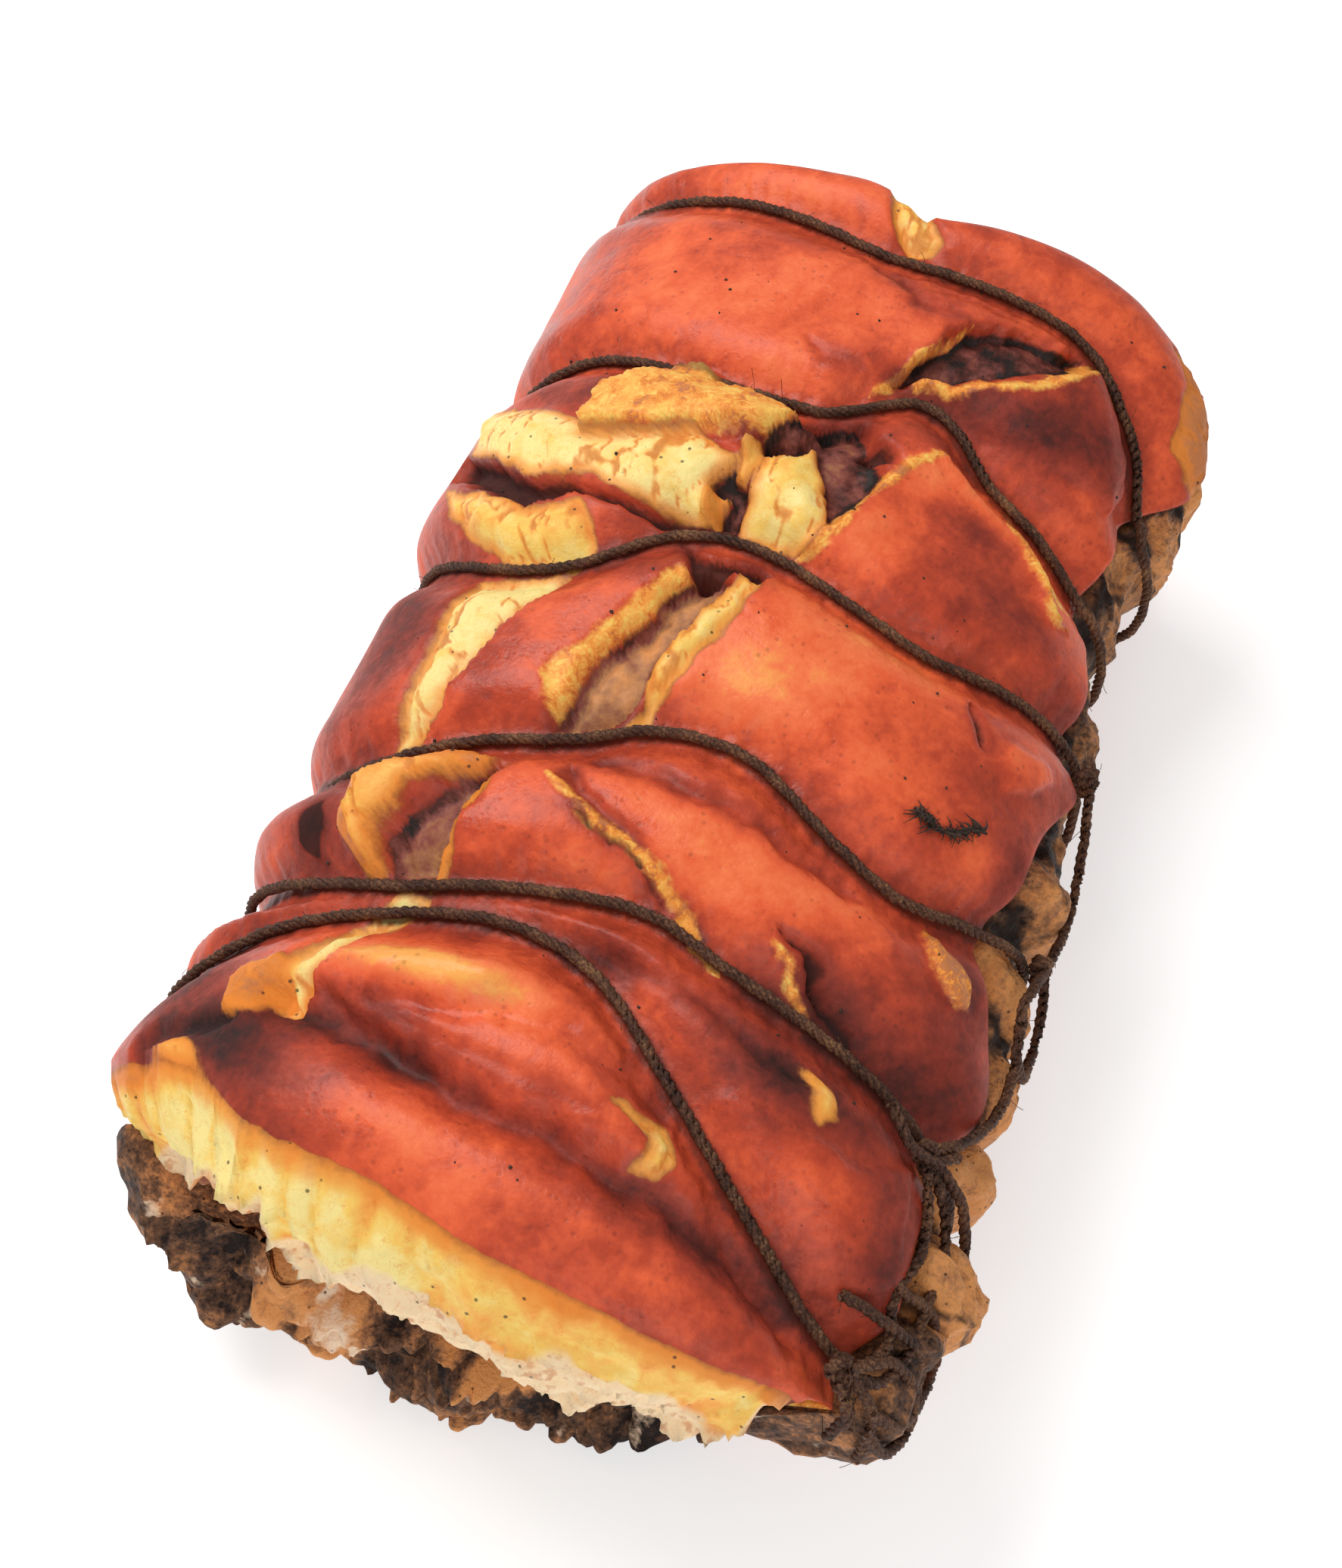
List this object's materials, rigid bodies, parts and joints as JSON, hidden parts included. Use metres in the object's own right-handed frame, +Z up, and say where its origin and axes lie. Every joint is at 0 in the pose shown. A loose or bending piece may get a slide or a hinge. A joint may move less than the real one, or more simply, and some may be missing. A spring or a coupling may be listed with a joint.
{
  "type": "porchetta",
  "caption": "Whole roast porchetta: pork rolled in its browned rind and fat, torn and folded on top, seam open along one flank, tied round with charred twine.",
  "frame": {"origin": "on the table, under the centre of the roast's bounding box", "axes": "+Y along the roll towards the end away from the camera, +X towards the flank where the seam is open, +Z up"},
  "size_m": [0.2079, 0.3573, 0.118],
  "materials": {
    "browned_rind": "roasted pork rind over soft fat, smooth and greasy, stands in for food",
    "roasted_meat": "rough roasted pork with browned fat, stands in for food",
    "charred_twine": "dark charred cotton twine"
  },
  "bodies": {
    "root": {"rind_and_fat": "browned_rind", "rolled_meat": "roasted_meat", "twine_loop_1": "charred_twine", "twine_loop_2": "charred_twine", "twine_laced": "charred_twine"}
  },
  "joints": []
}
